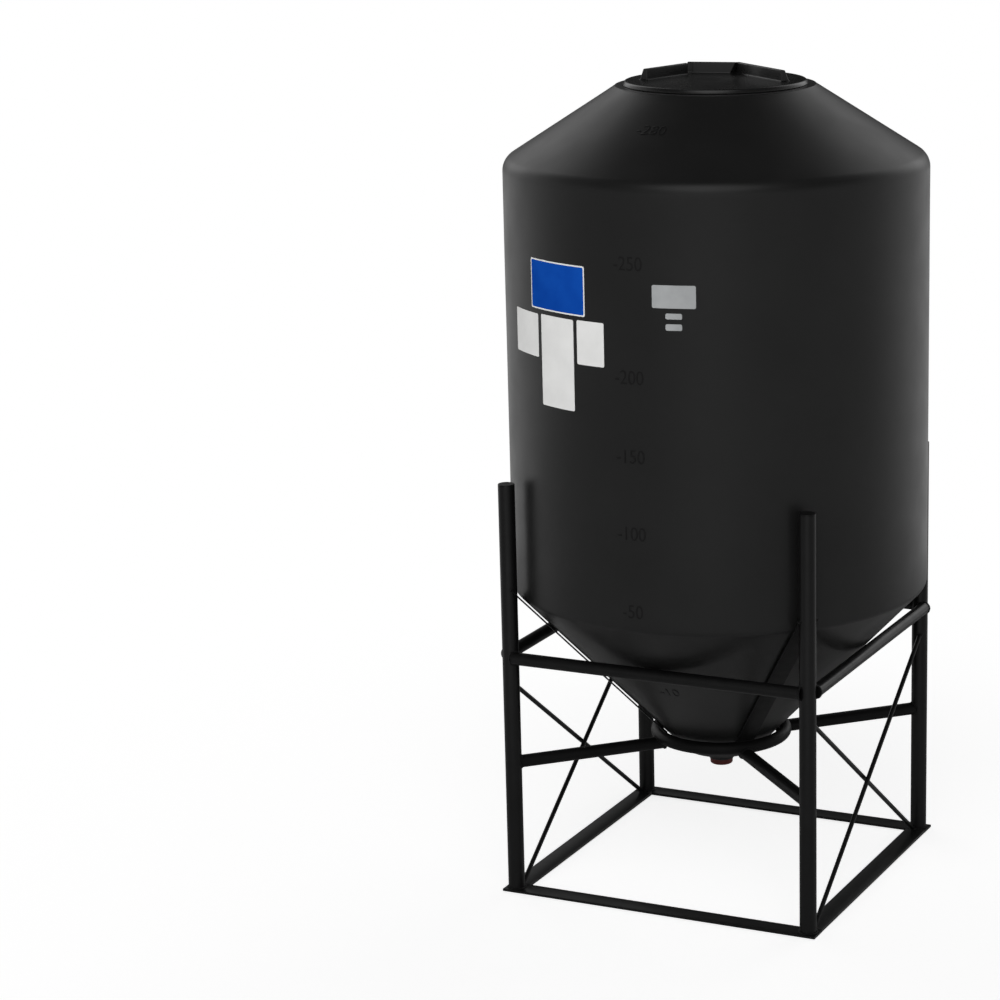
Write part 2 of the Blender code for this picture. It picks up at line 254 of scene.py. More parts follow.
# %% Finishes
tank_black = coated("tank_black", (0.021, 0.021, 0.021), (0.027, 0.027, 0.027),
                    (0.33, 0.39), 4.0, 420.0, 0.00006)
# The numbers are the same plastic as the wall: their darker tone is painted shade, for the shade
# that falls along their raised strokes.
mark_painted_shade = coated("mark_painted_shade", (0.012, 0.012, 0.012), (0.016, 0.016, 0.016),
                    (0.38, 0.44), 30.0, 420.0, 0.00004, gloss=0.40)
lid_black = coated("lid_black", (0.018, 0.018, 0.018), (0.023, 0.023, 0.023),
                   (0.24, 0.28), 5.0, 650.0, 0.00001, gloss=0.66)
plug_red = coated("plug_red", (0.150, 0.022, 0.018), (0.190, 0.030, 0.024),
                  (0.38, 0.46), 60.0, 900.0, 0.00005)
stand_enamel = coated("stand_enamel", (0.010, 0.010, 0.010), (0.014, 0.014, 0.0145),
                      (0.28, 0.36), 14.0, 320.0, 0.00004, gloss=0.40)
cone_enamel = coated("cone_enamel", (0.010, 0.010, 0.010), (0.014, 0.014, 0.0145),
                     (0.42, 0.50), 14.0, 320.0, 0.00004, gloss=0.22)
label_white = coated("label_white", (0.74, 0.74, 0.73), (0.80, 0.80, 0.79),
                     (0.30, 0.36), 20.0, 700.0, 0.00002, gloss=0.0)
label_blue = coated("label_blue", (0.004, 0.055, 0.340), (0.006, 0.072, 0.400),
                    (0.26, 0.32), 16.0, 700.0, 0.00002, gloss=0.0)
plate_silver = coated("plate_silver", (0.33, 0.34, 0.345), (0.38, 0.39, 0.395),
                      (0.34, 0.44), 30.0, 900.0, 0.00003, gloss=0.1)
print("materials:", [material.name for material in bpy.data.materials])

# %% [markdown]
# The tank is rotationally moulded: powder melts against the inside of a turning mould, and
# the shell comes out in one piece, from the fill neck's ledge to the tip of the cone, with
# every corner well rounded. Cylinders and cones could be joined and bevelled, but their
# seams would show in the reflections. One turned outline makes the whole shell smooth, and
# it stands for the wall, the shoulder, the cone and the neck of the solids. The outline goes
# down the outside and comes back up the inside, because the inside shows when the lid is off.

# %% Outline tools
def arc_at(before, corner, after, radius, steps):
    """Points that round the corner between two straight runs, from the first to the second."""
    before, corner, after = Vector(before), Vector(corner), Vector(after)
    to_before = (before - corner).normalized()
    to_after = (after - corner).normalized()
    half = to_before.angle(to_after) / 2
    center = corner + (to_before + to_after).normalized() * radius / math.sin(half)
    start = corner + to_before * radius / math.tan(half) - center
    end = corner + to_after * radius / math.tan(half) - center
    turn = -start.angle_signed(end)
    points = []
    for step in range(steps + 1):
        angle = turn * step / steps
        x = start.x * math.cos(angle) - start.y * math.sin(angle)
        y = start.x * math.sin(angle) + start.y * math.cos(angle)
        points.append((center.x + x, center.y + y))
    return points


def rounded_outline(corners):
    """Closed outline from (radius, height, rounding, steps); a rounding of 0 keeps the corner."""
    points = []
    count = len(corners)
    for index, (radius, height, rounding, steps) in enumerate(corners):
        if rounding == 0:
            points.append((radius, height))
            continue
        before = corners[index - 1][:2]
        after = corners[(index + 1) % count][:2]
        points += arc_at(before, (radius, height), after, rounding, steps)
    return points


def fill_in(points, spacing):
    """Add points on the long runs of an outline, so that no run is longer than spacing."""
    filled = []
    for index, point in enumerate(points):
        here = Vector(point)
        there = Vector(points[(index + 1) % len(points)])
        parts = max(1, math.ceil((there - here).length / spacing))
        filled += [tuple(here.lerp(there, part / parts)) for part in range(parts)]
    return filled


print("a corner rounded in two steps:", arc_at((1, 0), (0, 0), (0, 1), 0.5, 2))

# %% Turning an outline
AXIS_LIMIT = 1e-6


def bridge(bm, lower, upper):
    """Faces between two rings of equal count, either of which may be a single point."""
    count = max(len(lower), len(upper))
    for side in range(count if count > 1 else 0):
        after = (side + 1) % count
        corners = (lower[side % len(lower)], lower[after % len(lower)],
                   upper[after % len(upper)], upper[side % len(upper)])
        bm.faces.new(list(dict.fromkeys(corners)))


def turn_outline(bm, outline, sides, center=(0, 0)):
    """Turn a closed outline of (radius, height) about an upright axis. Radius 0 closes it."""
    rings = []
    for radius, height in outline:
        if radius < AXIS_LIMIT:
            rings.append([bm.verts.new((*center, height))])
            continue
        ring = []
        for side in range(sides):
            angle = 2 * math.pi * side / sides
            ring.append(bm.verts.new((center[0] + radius * math.cos(angle),
                                      center[1] + radius * math.sin(angle), height)))
        rings.append(ring)
    for index, lower in enumerate(rings):
        bridge(bm, lower, rings[(index + 1) % len(rings)])


print("turning helpers:", bridge.__name__, turn_outline.__name__)

# %% [markdown]
# The skin lies 0.9 mm inside the solid's barrel, which leaves room for the raised level marks
# within the same box. A real moulding is never a perfect cylinder. It cools unevenly, so its
# wall swells and sinks by a fraction of a millimetre over a hand's width, which is what makes
# its reflections wander a little. A bump in the material could fake that, but it would be
# missing from the mesh itself. A few slow waves, summed along the wall, do it here.

# %% Tank shell outline
MARK_RISE = 0.0009
SKIN_R = TANK_R - MARK_RISE
LEDGE_R = NECK_OUT_R + CLEARANCE
NECK_BORE_R = 0.2015
NECK_LOW_Z = neck_box[0].z
NECK_WALL = 0.004
KNUCKLE_R = 0.020
TIP_R = 0.006
DRAIN_HOLE_R = 0.020


def cone_radius(height):
    """Outside radius of the bottom cone at a height."""
    return TANK_R - (CONE_CORNER_Z - height) / CONE_SLOPE


def shoulder_height(radius):
    """Outside height of the top cone at a radius."""
    return SHOULDER_CORNER_Z + (TANK_R - radius) * SHOULDER_SLOPE


def shell_outline():
    """Outline of the moulding: outside from the neck to the outlet, then back up inside."""
    inner_r = TANK_R - SHELL_T
    inner_cone_z = CONE_CORNER_Z + SHELL_T * (CONE_SLANT - CONE_SLOPE)
    inner_top_z = SHOULDER_CORNER_Z - SHELL_T * (SHOULDER_SLANT - SHOULDER_SLOPE)
    floor_z = CONE_END_Z + SHELL_T
    floor_r = inner_r - (inner_cone_z - floor_z) / CONE_SLOPE
    ceiling_r = LEDGE_R - NECK_WALL
    ceiling_z = shoulder_height(LEDGE_R) - SHELL_T * SHOULDER_SLANT
    return rounded_outline([
        (NECK_BORE_R, NECK_TOP_Z, 0.0020, 4),
        (LEDGE_R, NECK_TOP_Z, 0.0016, 5),
        (LEDGE_R, shoulder_height(LEDGE_R), 0.0008, 3),
        (SKIN_R, SHOULDER_CORNER_Z + MARK_RISE * SHOULDER_SLOPE, SHOULDER_ROUND_R, 18),
        (SKIN_R, CONE_CORNER_Z - MARK_RISE * CONE_SLOPE, KNUCKLE_R, 10),
        (cone_radius(CONE_END_Z), CONE_END_Z, TIP_R, 6),
        (DRAIN_HOLE_R, CONE_END_Z, 0, 0),
        (DRAIN_HOLE_R, floor_z, 0, 0),
        (floor_r, floor_z, TIP_R, 3),
        (inner_r, inner_cone_z, KNUCKLE_R - SHELL_T, 5),
        (inner_r, inner_top_z, SHOULDER_ROUND_R - SHELL_T, 8),
        (ceiling_r, ceiling_z, 0.004, 3),
        (ceiling_r, NECK_LOW_Z, 0, 0),
        (NECK_BORE_R, NECK_LOW_Z, 0.0015, 2),
    ])


print("outline points", len(shell_outline()))

# %% Tank shell
SHELL_SIDES = 240
SHELL_SPACING = 0.030
SHELL_WAVE = 0.00035
STILL_BELOW_R = 0.15


def wall_swell(point):
    """How far the wall stands in or out at a point, in metres."""
    angle = math.atan2(point.y, point.x)
    height = point.z
    slow = math.sin(3 * angle + 2.6 * height + 0.7) + math.sin(5 * angle - 7.1 * height + 2.0)
    quick = math.sin(11 * angle + 9.0 * height + 4.1) + math.sin(8 * angle - 17.0 * height)
    return SHELL_WAVE * (0.55 * slow + 0.25 * quick - 0.5) / 1.6


bm = bmesh.new()
turn_outline(bm, fill_in(shell_outline(), SHELL_SPACING), SHELL_SIDES)
bmesh.ops.recalc_face_normals(bm, faces=bm.faces)
bm.normal_update()
# The neck stays true, because the lid screws into it.
for vert in bm.verts:
    radius = math.hypot(vert.co.x, vert.co.y)
    if radius > LEDGE_R + 0.01 or vert.co.z < NECK_LOW_Z - 0.02:
        vert.co += vert.normal * wall_swell(vert.co) * min(1.0, radius / STILL_BELOW_R)
tank_shell = piece_from_bmesh("tank_shell", bm, [tank_black])
settle(tank_shell, TANK_BODY, "black_plastic", "tank_wall", "tank_top", "tank_cone", "fill_neck")

# %% [markdown]
# The level marks are plain numbers cut into the mould, so they stand up from the skin in thin
# strokes. They could be painted on, but then no edge would catch the light. Each is typed as
# a text curve, thinned, given a soft edge, made a mesh while it is still flat, and then
# wrapped: across the number becomes an angle round the tank, up the number becomes a distance
# along the wall or the cone, and its thickness points outwards.

# %% Flat numbers
MARK_HEIGHT = 0.034
MARK_SQUEEZE = 0.86
MARK_SINK = 0.0012
MARK_THINNING = -0.010
MARK_DEPTH = 0.02
MARK_SOFT_EDGE = 0.008


def flat_number(text):
    """Mesh of a number, centred on the origin, MARK_HEIGHT tall, its back at MARK_SINK."""
    curve = bpy.data.curves.new("number", "FONT")
    curve.body = text
    curve.align_x = "CENTER"
    curve.size = 1.0
    curve.offset = MARK_THINNING
    curve.extrude = MARK_DEPTH
    curve.bevel_depth = MARK_SOFT_EDGE
    curve.bevel_resolution = 1
    curve.resolution_u = 5
    holder = placed("number", curve)
    mesh = evaluated_mesh(holder)
    bpy.data.objects.remove(holder, do_unlink=True)
    xs, ys, zs = ([vert.co[axis] for vert in mesh.vertices] for axis in range(3))
    scale = MARK_HEIGHT / (max(ys) - min(ys))
    thick = (MARK_RISE + MARK_SINK) / (max(zs) - min(zs))
    for vert in mesh.vertices:
        across = (vert.co.x - (max(xs) + min(xs)) / 2) * scale * MARK_SQUEEZE
        along = (vert.co.y - (max(ys) + min(ys)) / 2) * scale
        vert.co = (across, along, (vert.co.z - min(zs)) * thick - MARK_SINK)
    return mesh


print("numbers stand", MARK_RISE * 1000, "mm off the wall")

# %% Level marks
MARK_ANGLE = -90.0
TOP_MARK_ANGLE = -91.6
WALL_MARKS = (("-250", 1.6730), ("-200", 1.3995), ("-150", 1.2065), ("-100", 1.0160),
              ("-50", 0.8205))
CONE_MARK, CONE_MARK_Z = "-10", 0.5550
TOP_MARK, TOP_MARK_Z = "-280", 1.9660
TOP_MARK_R = TANK_R - (TOP_MARK_Z - SHOULDER_CORNER_Z) / SHOULDER_SLOPE
# Ways up and out of each surface, as (radius, height).
WALL_WAYS = (Vector((0, 1)), Vector((1, 0)))
CONE_WAYS = (Vector((1, CONE_SLOPE)) / CONE_SLANT, Vector((CONE_SLOPE, -1)) / CONE_SLANT)
TOP_WAYS = (Vector((-1, SHOULDER_SLOPE)) / SHOULDER_SLANT,
            Vector((SHOULDER_SLOPE, 1)) / SHOULDER_SLANT)


def wrap_number(bm, text, height, base_radius, ways, middle=MARK_ANGLE):
    """Add a number to bm, wrapped on a wall or cone that passes (base_radius, height)."""
    mesh = flat_number(text)
    start = len(bm.verts)
    bm.from_mesh(mesh)
    bpy.data.meshes.remove(mesh)
    bm.verts.ensure_lookup_table()
    for vert in bm.verts[start:]:
        across, along, lift = vert.co
        spot = Vector((base_radius, height)) + ways[0] * along + ways[1] * lift
        angle = math.radians(middle) + across / base_radius
        vert.co = (spot.x * math.cos(angle), spot.x * math.sin(angle), spot.y)


bm = bmesh.new()
for text, height in WALL_MARKS:
    wrap_number(bm, text, height, SKIN_R, WALL_WAYS)
wrap_number(bm, CONE_MARK, CONE_MARK_Z, cone_radius(CONE_MARK_Z), CONE_WAYS)
wrap_number(bm, TOP_MARK, TOP_MARK_Z, TOP_MARK_R, TOP_WAYS, TOP_MARK_ANGLE)
bmesh.ops.remove_doubles(bm, verts=bm.verts, dist=1e-6)
# The marks take the darker material, which is painted shade along their strokes.
level_marks = piece_from_bmesh("level_marks", bm, [mark_painted_shade], 50)
settle(level_marks, TANK_BODY, "black_plastic")

# %% [markdown]
# Labels of stuck film sit on the barrel: a blue panel with a white edge, plain white ones
# under it, and a small silver plate with two tags. They stay bare. A flat sheet pressed onto
# the wall with a modifier would wrinkle at its corners. So each is built as a grid of columns
# and rows on the cylinder, closed at its back and edges, and the rows near the corners are
# drawn in by the corner's circle.

# %% Label sheets
FILM_T = 0.00025
LABEL_CORNER = 0.004
LABEL_COLUMNS = 24
LABEL_CORNER_ROWS = 5
LABEL_ROWS = 6


def label_rows(height, corner):
    """Heights of a label's rows from its middle, closer together at the corners."""
    half = height / 2
    steps = range(LABEL_CORNER_ROWS + 1)
    rise = [corner * (1 - math.cos(math.pi / 2 * s / LABEL_CORNER_ROWS)) for s in steps]
    low = [-half + r for r in rise]
    middle = [-half + corner + (height - 2 * corner) * s / LABEL_ROWS
              for s in range(1, LABEL_ROWS)]
    return low + middle + [-z for z in reversed(low)]


def label_layer(bm, radius, middle, half_w, center_z, height):
    """Grid of points for one side of a label, row by row from its lower edge."""
    grid = []
    for z in label_rows(height, LABEL_CORNER):
        into = max(0.0, abs(z) - (height / 2 - LABEL_CORNER))
        cut_in = LABEL_CORNER - math.sqrt(max(0.0, LABEL_CORNER ** 2 - into ** 2))
        row = []
        for column in range(LABEL_COLUMNS + 1):
            across = (2 * column / LABEL_COLUMNS - 1) * (half_w - cut_in)
            angle = middle + across / SKIN_R
            row.append(bm.verts.new((radius * math.cos(angle), radius * math.sin(angle),
                                     center_z + z)))
        grid.append(row)
    return grid


def add_label(bm, angles, heights, lift, inset=0.0, slot=0):
    """Thin closed sheet on the barrel between two angles in degrees and two heights."""
    face_r = SKIN_R + lift
    half_w = math.radians(angles[1] - angles[0]) / 2 * SKIN_R - inset
    middle = math.radians(angles[0] + angles[1]) / 2
    height = heights[1] - heights[0] - 2 * inset
    layers = [label_layer(bm, radius, middle, half_w, sum(heights) / 2, height)
              for radius in (face_r - FILM_T, face_r)]
    back, front = layers
    faces = []
    for r in range(len(front) - 1):
        for c in range(LABEL_COLUMNS):
            for grid in layers:
                faces.append((grid[r][c], grid[r][c + 1], grid[r + 1][c + 1], grid[r + 1][c]))
        for c in (0, -1):
            faces.append((back[r][c], back[r + 1][c], front[r + 1][c], front[r][c]))
    for c in range(LABEL_COLUMNS):
        for r in (0, -1):
            faces.append((back[r][c], back[r][c + 1], front[r][c + 1], front[r][c]))
    for corners in faces:
        bm.faces.new(corners).material_index = slot


print("rows of a label 100 mm tall:", len(label_rows(0.1, LABEL_CORNER)))

# %% Labels
PANEL_EDGE = 0.0035
FILM_LIFT = 0.0005
UPPER_FILM_LIFT = 0.0006
# Angles round the tank in degrees, and heights in metres.
BLUE_PANEL = ((-124.3, -103.0), (1.535, 1.657))
WHITE_LABELS = (
    ((-133.9, -121.2), (1.415, 1.522)),
    ((-119.75, -107.0), (1.300, 1.524)),
    ((-105.8, -97.15), (1.418, 1.5255)),
)
SILVER_PLATES = (
    ((-83.4, -72.0), (1.571, 1.626)),
    ((-79.9, -75.6), (1.545, 1.559)),
    ((-79.9, -75.6), (1.518, 1.5335)),
)

bm = bmesh.new()
add_label(bm, *BLUE_PANEL, FILM_LIFT)
add_label(bm, *BLUE_PANEL, UPPER_FILM_LIFT, PANEL_EDGE, 1)
labels = [piece_from_bmesh("blue_panel", bm, [label_white, label_blue])]
for name, places, lift, film in (
    ("white_labels", WHITE_LABELS, FILM_LIFT, label_white),
    ("silver_plates", SILVER_PLATES, UPPER_FILM_LIFT, plate_silver),
):
    bm = bmesh.new()
    for angles, heights in places:
        add_label(bm, angles, heights, lift)
    labels.append(piece_from_bmesh(name, bm, [film]))
for label in labels:
    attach(label, TANK_BODY)
    print(label.name, "faces", len(label.data.polygons))

# %% [markdown]
# The lid is a flat disc with a rounded rim and a threaded skirt that goes down into the neck.
# It is moulded with draft: its rim leans in towards the top, so that it can leave the mould.
# All of it is round, so the disc and skirt are one turned outline, as the tank is. It stays
# open as a bmesh until the grips are in it too.

# %% Lid disc and skirt
LID_R = lid_box[1].x
LID_TOP_Z = 2.0490
LID_PLATE_T = 0.006
LID_RIM_R = 0.006
LID_RIM_DRAFT = 0.0052
SKIRT_R = 0.1960
SKIRT_T = 0.006
SKIRT_LOW_Z = lid_box[0].z
LID_SIDES = 192
LID_SPACING = 0.040
bm = bmesh.new()
lid_low_z = NECK_TOP_Z + CLEARANCE
lid_corners = [
    (0, LID_TOP_Z - LID_PLATE_T, 0, 0),
    (SKIRT_R - SKIRT_T, LID_TOP_Z - LID_PLATE_T, 0.003, 4),
    (SKIRT_R - SKIRT_T, SKIRT_LOW_Z, 0.001, 2),
    (SKIRT_R, SKIRT_LOW_Z, 0.001, 2),
    (SKIRT_R, lid_low_z, 0.0015, 3),
    (LID_R, lid_low_z, 0.0018, 4),
    (LID_R - LID_RIM_DRAFT, LID_TOP_Z, LID_RIM_R, 10),
    (0, LID_TOP_Z, 0, 0),
]
turn_outline(bm, fill_in(rounded_outline(lid_corners), LID_SPACING)[:-1], LID_SIDES)
print("lid rim radius", round(LID_R, 4), "top", LID_TOP_Z)

# %% [markdown]
# Three raised bars on the lid give the hands a grip to turn it by. A cube with a bevel would
# have the same rounding all over. A real grip is wider at the foot, where it flares into the
# disc, and its top edge is tighter. So each is lofted: outlines of the bar are stacked from
# its foot to its top, and drawn in or let out at each level.

# %% Grip outlines
GRIP_TOP_Z = lid_box[1].z
GRIP_HEIGHT = GRIP_TOP_Z - LID_TOP_Z
GRIP_WIDTHS = (0.0220, 0.0110)
GRIP_PLAN_R = 0.0030
GRIP_LEAST_PLAN_R = 0.0008
GRIP_FOOT_R = 0.0030
GRIP_EDGE_R = 0.0022
GRIP_SINK = 0.0010
GRIP_ROUND_STEPS = 6


def grip_levels():
    """(height above the disc, inset) from the foot of a grip to its top."""
    angles = [math.pi / 2 * step / 5 for step in range(6)]
    foot = [(GRIP_FOOT_R * (1 - math.cos(angle)), -GRIP_FOOT_R * (1 - math.sin(angle)))
            for angle in angles]
    top = [(GRIP_HEIGHT - GRIP_EDGE_R * (1 - math.sin(angle)),
            GRIP_EDGE_R * (1 - math.cos(angle))) for angle in angles]
    return [(-GRIP_SINK, -GRIP_FOOT_R)] + foot + top


def moved_in(corners, inset):
    """Corners of a convex outline after each side has moved in by inset."""
    count = len(corners)
    sides = [(corners[(i + 1) % count] - corners[i]).normalized() for i in range(count)]
    inward = [Vector((-side.y, side.x)) for side in sides]
    moved = []
    for i in range(count):
        before, after = inward[i - 1], inward[i]
        moved.append(corners[i] + (before + after) * inset / (1 + before.dot(after)))
    return moved


def grip_outline(length, far, share, past, lean, inset):
    """Rounded outline of a bar at one level, along x and across y."""
    low, high = lean[0] * share, length + lean[1] * share
    corners = [Vector((low, 0)), Vector((high, 0)), Vector((high + past[1], far)),
               Vector((low - past[0], far))]
    corners = moved_in(corners, inset)
    round_r = max(GRIP_LEAST_PLAN_R, GRIP_PLAN_R - max(0.0, inset))
    points = []
    for i in range(4):
        points += arc_at(corners[i - 1], corners[i], corners[(i + 1) % 4], round_r,
                         GRIP_ROUND_STEPS)
    return points


print("grip height", round(GRIP_HEIGHT, 4), "in levels:", len(grip_levels()))

# %% Lid grips
LID_TURN = math.radians(23.4)
# Foot of each bar's inner face in the lid's own turn, how far its outer side runs past each
# end of that line, and how far each end leans along the bar on its way up.
GRIPS = (
    ((0.053, 0.130), (0.162, -0.071), (0.024, 0.0), (0.0075, 0.0)),
    ((-0.0685, 0.1216), (-0.169, -0.003), (0.006, 0.003), (0.0, 0.0)),
    ((-0.0565, 0.1461), (0.0365, 0.1277), (0.0270, 0.016), (0.0, 0.014)),
)


def add_grip(bm, start, end, past, lean):
    """Closed bar on the disc, its inner face from start to end."""
    start, end = Vector(start), Vector(end)
    along = (end - start).normalized()
    outward = Vector((along.y, -along.x))
    if outward.dot(start + end) < 0:
        outward = -outward
    turn = Matrix.Rotation(LID_TURN, 2)
    rings = []
    for rise, inset in grip_levels():
        share = max(0.0, rise) / GRIP_HEIGHT
        far = GRIP_WIDTHS[0] + (GRIP_WIDTHS[1] - GRIP_WIDTHS[0]) * share
        ring = []
        for x, y in grip_outline((end - start).length, far, share, past, lean, inset):
            spot = turn @ (start + along * x + outward * y)
            ring.append(bm.verts.new((spot.x, spot.y, LID_TOP_Z + rise)))
        rings.append(ring)
    for lower, upper in zip(rings, rings[1:]):
        bridge(bm, lower, upper)
    bm.faces.new(rings[0][::-1])
    bm.faces.new(rings[-1])


for grip in GRIPS:
    add_grip(bm, *grip)
lid_moulding = piece_from_bmesh("lid_moulding", bm, [lid_black])
settle(lid_moulding, LID_BODY, "lid_plastic", "lid")

# %% [markdown]
# Threads, pipes bent in a ring and weld beads all follow a path, which is what Geometry Nodes
# are good at. Small helpers build a node tree with named inputs and run it on an object: the
# result is read back as a plain mesh and the modifier is taken off.

# %% Geometry Nodes helpers
FLOAT = "NodeSocketFloat"
MATERIAL = "NodeSocketMaterial"


def new_tree(name, inputs):
    """Node tree with a geometry input and output, and the named inputs given."""
    tree = bpy.data.node_groups.new(name, "GeometryNodeTree")
    tree.interface.new_socket(name="Geometry", in_out="INPUT", socket_type="NodeSocketGeometry")
    for label, kind in inputs:
        tree.interface.new_socket(name=label, in_out="INPUT", socket_type=kind)
    tree.interface.new_socket(name="Geometry", in_out="OUTPUT", socket_type="NodeSocketGeometry")
    return tree, add_node(tree, "NodeGroupInput").outputs


def raised(tree, geometry, height):
    """The geometry, moved up by a height that another node or an input gives."""
    lift = add_node(tree, "ShaderNodeCombineXYZ", {"Z": height})
    move = add_node(tree, "GeometryNodeTransform", {
        "Geometry": geometry, "Translation": lift.outputs["Vector"]})
    return move.outputs["Geometry"]


def finish_tree(tree, geometry, material):
    """Realize instances, shade smooth and set the material, as every tree here ends."""
    real = add_node(tree, "GeometryNodeRealizeInstances", {"Geometry": geometry})
    smooth = add_node(tree, "GeometryNodeSetShadeSmooth", {"Geometry": real.outputs["Geometry"]})
    paint = add_node(tree, "GeometryNodeSetMaterial", {
        "Geometry": smooth.outputs["Geometry"], "Material": material})
    add_node(tree, "NodeGroupOutput", {"Geometry": paint.outputs["Geometry"]})
    print(tree.name, "has", len(tree.nodes), "nodes")


def run_tree(name, tree, mesh, values):
    """Object at the origin with the mesh that the tree makes of the given mesh."""
    holder = placed(name, mesh)
    modifier = holder.modifiers.new(name, "NODES")
    modifier.node_group = tree
    for item in tree.interface.items_tree:
        if item.in_out == "INPUT" and item.name in values:
            modifier[item.identifier] = values[item.name]
    made = evaluated_mesh(holder)
    holder.modifiers.remove(modifier)
    holder.data = made
    print(name, "made by nodes, faces", len(made.polygons))
    return holder


# %% [markdown]
# A screw thread is a ridge that climbs in a helix. It could be a Screw modifier on a profile,
# but the same ridge is wanted twice, facing in and facing out. In nodes that is one input: the
# Spiral node draws the helix, and Curve to Mesh runs a trapezoid along it, turned to either
# side. Both ridges are shallow, so the lid clears the neck when it is lifted straight.

# %% Thread tree
THREAD_STEPS = 96
thread_tree, sockets = new_tree("screw_thread", (
    ("Radius", FLOAT), ("Turns", FLOAT), ("Rise", FLOAT), ("Foot Width", FLOAT),
    ("Tip Width", FLOAT), ("Depth", FLOAT), ("Foot Side", FLOAT), ("Start Height", FLOAT),
    ("Material", MATERIAL)))
spiral = add_node(thread_tree, "GeometryNodeCurveSpiral", {
    "Resolution": THREAD_STEPS, "Rotations": sockets["Turns"], "Height": sockets["Rise"],
    "Start Radius": sockets["Radius"], "End Radius": sockets["Radius"]})
upright = add_node(thread_tree, "GeometryNodeSetCurveNormal", {
    "Curve": spiral.outputs["Curve"]}, mode="Z_UP")
section = add_node(thread_tree, "GeometryNodeCurvePrimitiveQuadrilateral", {
    "Bottom Width": sockets["Foot Width"], "Top Width": sockets["Tip Width"],
    "Height": sockets["Depth"], "Offset": 0.0}, mode="TRAPEZOID")
stand_up = add_node(thread_tree, "ShaderNodeCombineXYZ", {"Z": sockets["Foot Side"]})
turned = add_node(thread_tree, "GeometryNodeTransform", {
    "Geometry": section.outputs["Curve"], "Rotation": stand_up.outputs["Vector"]})
sweep = add_node(thread_tree, "GeometryNodeCurveToMesh", {
    "Curve": upright.outputs["Curve"], "Profile Curve": turned.outputs["Geometry"],
    "Fill Caps": True})
finish_tree(thread_tree, raised(thread_tree, sweep.outputs["Mesh"], sockets["Start Height"]),
            sockets["Material"])

# %% Screw threads
INWARD, OUTWARD = -math.pi / 2, math.pi / 2
THREAD_SIZES = {"Turns": 2.5, "Rise": 0.0130, "Foot Width": 0.0042, "Tip Width": 0.0018,
                "Depth": 0.0022}
for name, radius, side, start, material, body, slot in (
    ("neck_thread", NECK_BORE_R - 0.0004, INWARD, 2.0195, tank_black, TANK_BODY, "black_plastic"),
    ("lid_thread", SKIRT_R + 0.0006, OUTWARD, 2.0223, lid_black, LID_BODY, "lid_plastic"),
):
    values = {**THREAD_SIZES, "Radius": radius, "Foot Side": side, "Start Height": start,
              "Material": material}
    thread = run_tree(name, thread_tree, bpy.data.meshes.new(name), values)
    radii = [math.hypot(vert.co.x, vert.co.y) for vert in thread.data.vertices]
    print(name, "from radius", round(min(radii), 4), "to", round(max(radii), 4))
    settle(thread, body, slot)

# %% [markdown]
# Under the tip of the cone hangs a short moulded boss with a tapered outside and a bore. It
# flares into the cone with a small fillet. It is round, so it is turned.

# %% Outlet boss
BOSS_TOP_R = boss_box[1].x
BOSS_BOTTOM_R = 0.0325
BOSS_BORE_R = 0.0200
BOSS_TAPER = 0.0016
BOSS_FLARE_H = 0.006
BOSS_SIDES = 72
boss_low, boss_high = boss_box[0].z, boss_box[1].z
bm = bmesh.new()
boss_corners = [
    (BOSS_BORE_R, boss_low, 0.0008, 2),
    (BOSS_BOTTOM_R, boss_low, 0.0018, 4),
    (BOSS_BOTTOM_R + BOSS_TAPER, boss_high - BOSS_FLARE_H, 0.0040, 4),
    (BOSS_TOP_R, boss_high - 0.0012, 0.0008, 2),
    (BOSS_TOP_R, boss_high, 0, 0),
    (BOSS_BORE_R, boss_high, 0, 0),
]
turn_outline(bm, rounded_outline(boss_corners), BOSS_SIDES)
outlet_boss = piece_from_bmesh("outlet_boss", bm, [tank_black])
settle(outlet_boss, TANK_BODY, "black_plastic", "outlet_fitting")

# %% [markdown]
# A dark red plug shuts the boss. It has a rounded lower edge and a thin flange at its top, and
# both are turned. Its square socket, for the key that turns it, isn't round, so a Boolean
# modifier cuts it out of the turned plug and is then applied.

# %% Outlet plug
PLUG_R = plug_box[1].x
PLUG_EDGE_R = 0.0042
PLUG_LIP = 0.0008
PLUG_FLANGE_T = 0.004
PLUG_SIDES = 64
SOCKET_HALF = 0.0080
SOCKET_DEPTH = 0.0050
plug_low, plug_high = plug_box[0].z, plug_box[1].z
bm = bmesh.new()
plug_corners = [
    (0, plug_low, 0, 0),
    (PLUG_R - PLUG_LIP, plug_low, PLUG_EDGE_R, 8),
    (PLUG_R - PLUG_LIP, plug_high - PLUG_FLANGE_T, 0.0004, 2),
    (PLUG_R, plug_high - PLUG_FLANGE_T, 0.0006, 2),
    (PLUG_R, plug_high, 0.0006, 2),
    (0, plug_high, 0, 0),
]
turn_outline(bm, rounded_outline(plug_corners), PLUG_SIDES)
outlet_plug = piece_from_bmesh("drain_plug", bm, [plug_red])
socket_bm = bmesh.new()
bmesh.ops.create_cube(socket_bm, size=1.0)
socket_bm.transform(Matrix.Translation((0, 0, plug_low)) @
                    Matrix.Diagonal((SOCKET_HALF * 2, SOCKET_HALF * 2, SOCKET_DEPTH * 2, 1)))
socket = piece_from_bmesh("socket_cutter", socket_bm, [plug_red])
cut = outlet_plug.modifiers.new("socket", "BOOLEAN")
cut.operation = "DIFFERENCE"
cut.object = socket
plug_mesh = evaluated_mesh(outlet_plug)
outlet_plug.modifiers.clear()
outlet_plug.data = plug_mesh
bpy.data.objects.remove(socket, do_unlink=True)
settle(outlet_plug, TANK_BODY, "plug_plastic", "outlet_plug")

# %% [markdown]
# Each post is a length of pipe that stands on the base frame, closed at its top by a welded
# disc. A fine groove shows where the disc was welded on, and the disc's edge is eased. A
# cylinder could be bevelled, but not grooved so simply. Post and cap are one turned outline,
# repeated at the four corners.

